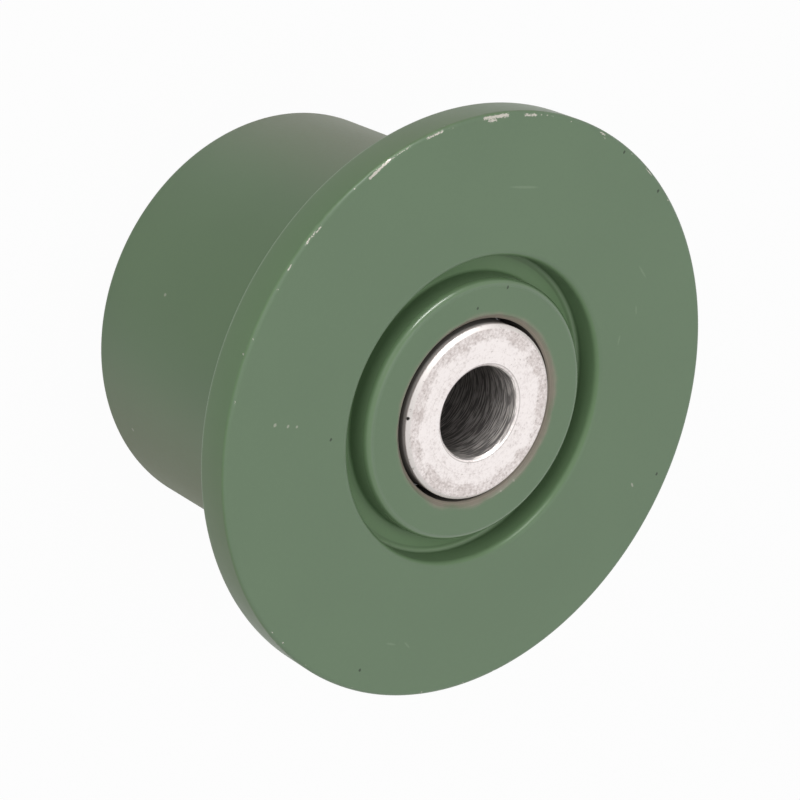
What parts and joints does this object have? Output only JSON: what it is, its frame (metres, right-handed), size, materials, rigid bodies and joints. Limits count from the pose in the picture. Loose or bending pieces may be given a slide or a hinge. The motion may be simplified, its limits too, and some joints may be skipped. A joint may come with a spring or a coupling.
{
  "type": "support roller",
  "caption": "Green painted steel support roller with a wide guide flange on one end, turning on sealed ball bearings around a thick sleeve for a clamping bolt.",
  "frame": {"origin": "on the axis, at the back end face of the axle sleeve, which the roller stands on", "axes": "+Z along the axis towards the flange; +X through the middle of the retaining ring's gap"},
  "size_m": [0.133, 0.133, 0.0775],
  "materials": {
    "green_paint": "satin grey-green enamel, chipped to bare steel along the flange's front edge",
    "turned_steel": "turned, bright on the end faces, dull with drilling lines in the bore",
    "bearing_steel": "ground and polished",
    "cage_steel": "pressed sheet steel",
    "spring_steel": "dark, oiled spring steel",
    "seal_rubber": "matt black"
  },
  "bodies": {
    "axle": {"axle_sleeve": "turned_steel", "front_bearing_inner_ring": "bearing_steel", "rear_bearing_inner_ring": "bearing_steel"},
    "roller": {"roller_body": "green_paint", "retaining_ring": "spring_steel", "front_bearing_outer_ring": "bearing_steel", "front_bearing_front_seal": "seal_rubber", "front_bearing_back_seal": "seal_rubber", "rear_bearing_outer_ring": "bearing_steel", "rear_bearing_front_seal": "seal_rubber", "rear_bearing_back_seal": "seal_rubber"},
    "front_cage": {"front_bearing_cage_front_half": "cage_steel", "front_bearing_cage_back_half": "cage_steel", "front_bearing_cage_rivets": "cage_steel"},
    "front_ball_1": {"front_bearing_ball_1": "bearing_steel"},
    "front_ball_2": {"front_bearing_ball_2": "bearing_steel"},
    "front_ball_3": {"front_bearing_ball_3": "bearing_steel"},
    "front_ball_4": {"front_bearing_ball_4": "bearing_steel"},
    "front_ball_5": {"front_bearing_ball_5": "bearing_steel"},
    "front_ball_6": {"front_bearing_ball_6": "bearing_steel"},
    "front_ball_7": {"front_bearing_ball_7": "bearing_steel"},
    "front_ball_8": {"front_bearing_ball_8": "bearing_steel"},
    "front_ball_9": {"front_bearing_ball_9": "bearing_steel"},
    "rear_cage": {"rear_bearing_cage_front_half": "cage_steel", "rear_bearing_cage_back_half": "cage_steel", "rear_bearing_cage_rivets": "cage_steel"},
    "rear_ball_1": {"rear_bearing_ball_1": "bearing_steel"},
    "rear_ball_2": {"rear_bearing_ball_2": "bearing_steel"},
    "rear_ball_3": {"rear_bearing_ball_3": "bearing_steel"},
    "rear_ball_4": {"rear_bearing_ball_4": "bearing_steel"},
    "rear_ball_5": {"rear_bearing_ball_5": "bearing_steel"},
    "rear_ball_6": {"rear_bearing_ball_6": "bearing_steel"},
    "rear_ball_7": {"rear_bearing_ball_7": "bearing_steel"},
    "rear_ball_8": {"rear_bearing_ball_8": "bearing_steel"},
    "rear_ball_9": {"rear_bearing_ball_9": "bearing_steel"}
  },
  "joints": [
    {"name": "roller_spin", "type": "hinge", "parent": "axle", "child": "roller", "pos_m": [0, 0, 0], "axis": [0, 0, 1], "continuous": true},
    {"name": "front_cage_orbit", "type": "hinge", "parent": "axle", "child": "front_cage", "pos_m": [0, 0, 0], "axis": [0, 0, 1], "continuous": true},
    {"name": "front_ball_1_roll", "type": "hinge", "parent": "front_cage", "child": "front_ball_1", "pos_m": [0.03, 0, 0.05575], "axis": [0, 0, 1], "continuous": true},
    {"name": "front_ball_2_roll", "type": "hinge", "parent": "front_cage", "child": "front_ball_2", "pos_m": [0.02298, 0.01928, 0.05575], "axis": [0, 0, 1], "continuous": true},
    {"name": "front_ball_3_roll", "type": "hinge", "parent": "front_cage", "child": "front_ball_3", "pos_m": [0.00521, 0.02954, 0.05575], "axis": [0, 0, 1], "continuous": true},
    {"name": "front_ball_4_roll", "type": "hinge", "parent": "front_cage", "child": "front_ball_4", "pos_m": [-0.015, 0.02598, 0.05575], "axis": [0, 0, 1], "continuous": true},
    {"name": "front_ball_5_roll", "type": "hinge", "parent": "front_cage", "child": "front_ball_5", "pos_m": [-0.02819, 0.01026, 0.05575], "axis": [0, 0, 1], "continuous": true},
    {"name": "front_ball_6_roll", "type": "hinge", "parent": "front_cage", "child": "front_ball_6", "pos_m": [-0.02819, -0.01026, 0.05575], "axis": [0, 0, 1], "continuous": true},
    {"name": "front_ball_7_roll", "type": "hinge", "parent": "front_cage", "child": "front_ball_7", "pos_m": [-0.015, -0.02598, 0.05575], "axis": [0, 0, 1], "continuous": true},
    {"name": "front_ball_8_roll", "type": "hinge", "parent": "front_cage", "child": "front_ball_8", "pos_m": [0.00521, -0.02954, 0.05575], "axis": [0, 0, 1], "continuous": true},
    {"name": "front_ball_9_roll", "type": "hinge", "parent": "front_cage", "child": "front_ball_9", "pos_m": [0.02298, -0.01928, 0.05575], "axis": [0, 0, 1], "continuous": true},
    {"name": "rear_cage_orbit", "type": "hinge", "parent": "axle", "child": "rear_cage", "pos_m": [0, 0, 0], "axis": [0, 0, 1], "continuous": true},
    {"name": "rear_ball_1_roll", "type": "hinge", "parent": "rear_cage", "child": "rear_ball_1", "pos_m": [0.03, 0, 0.01775], "axis": [0, 0, 1], "continuous": true},
    {"name": "rear_ball_2_roll", "type": "hinge", "parent": "rear_cage", "child": "rear_ball_2", "pos_m": [0.02298, 0.01928, 0.01775], "axis": [0, 0, 1], "continuous": true},
    {"name": "rear_ball_3_roll", "type": "hinge", "parent": "rear_cage", "child": "rear_ball_3", "pos_m": [0.00521, 0.02954, 0.01775], "axis": [0, 0, 1], "continuous": true},
    {"name": "rear_ball_4_roll", "type": "hinge", "parent": "rear_cage", "child": "rear_ball_4", "pos_m": [-0.015, 0.02598, 0.01775], "axis": [0, 0, 1], "continuous": true},
    {"name": "rear_ball_5_roll", "type": "hinge", "parent": "rear_cage", "child": "rear_ball_5", "pos_m": [-0.02819, 0.01026, 0.01775], "axis": [0, 0, 1], "continuous": true},
    {"name": "rear_ball_6_roll", "type": "hinge", "parent": "rear_cage", "child": "rear_ball_6", "pos_m": [-0.02819, -0.01026, 0.01775], "axis": [0, 0, 1], "continuous": true},
    {"name": "rear_ball_7_roll", "type": "hinge", "parent": "rear_cage", "child": "rear_ball_7", "pos_m": [-0.015, -0.02598, 0.01775], "axis": [0, 0, 1], "continuous": true},
    {"name": "rear_ball_8_roll", "type": "hinge", "parent": "rear_cage", "child": "rear_ball_8", "pos_m": [0.00521, -0.02954, 0.01775], "axis": [0, 0, 1], "continuous": true},
    {"name": "rear_ball_9_roll", "type": "hinge", "parent": "rear_cage", "child": "rear_ball_9", "pos_m": [0.02298, -0.01928, 0.01775], "axis": [0, 0, 1], "continuous": true}
  ],
  "couplings": [
    {"joint": "front_cage_orbit", "follows": "roller_spin", "ratio": 0.6},
    {"joint": "front_ball_1_roll", "follows": "roller_spin", "ratio": 2.4},
    {"joint": "front_ball_2_roll", "follows": "roller_spin", "ratio": 2.4},
    {"joint": "front_ball_3_roll", "follows": "roller_spin", "ratio": 2.4},
    {"joint": "front_ball_4_roll", "follows": "roller_spin", "ratio": 2.4},
    {"joint": "front_ball_5_roll", "follows": "roller_spin", "ratio": 2.4},
    {"joint": "front_ball_6_roll", "follows": "roller_spin", "ratio": 2.4},
    {"joint": "front_ball_7_roll", "follows": "roller_spin", "ratio": 2.4},
    {"joint": "front_ball_8_roll", "follows": "roller_spin", "ratio": 2.4},
    {"joint": "front_ball_9_roll", "follows": "roller_spin", "ratio": 2.4},
    {"joint": "rear_cage_orbit", "follows": "roller_spin", "ratio": 0.6},
    {"joint": "rear_ball_1_roll", "follows": "roller_spin", "ratio": 2.4},
    {"joint": "rear_ball_2_roll", "follows": "roller_spin", "ratio": 2.4},
    {"joint": "rear_ball_3_roll", "follows": "roller_spin", "ratio": 2.4},
    {"joint": "rear_ball_4_roll", "follows": "roller_spin", "ratio": 2.4},
    {"joint": "rear_ball_5_roll", "follows": "roller_spin", "ratio": 2.4},
    {"joint": "rear_ball_6_roll", "follows": "roller_spin", "ratio": 2.4},
    {"joint": "rear_ball_7_roll", "follows": "roller_spin", "ratio": 2.4},
    {"joint": "rear_ball_8_roll", "follows": "roller_spin", "ratio": 2.4},
    {"joint": "rear_ball_9_roll", "follows": "roller_spin", "ratio": 2.4}
  ]
}
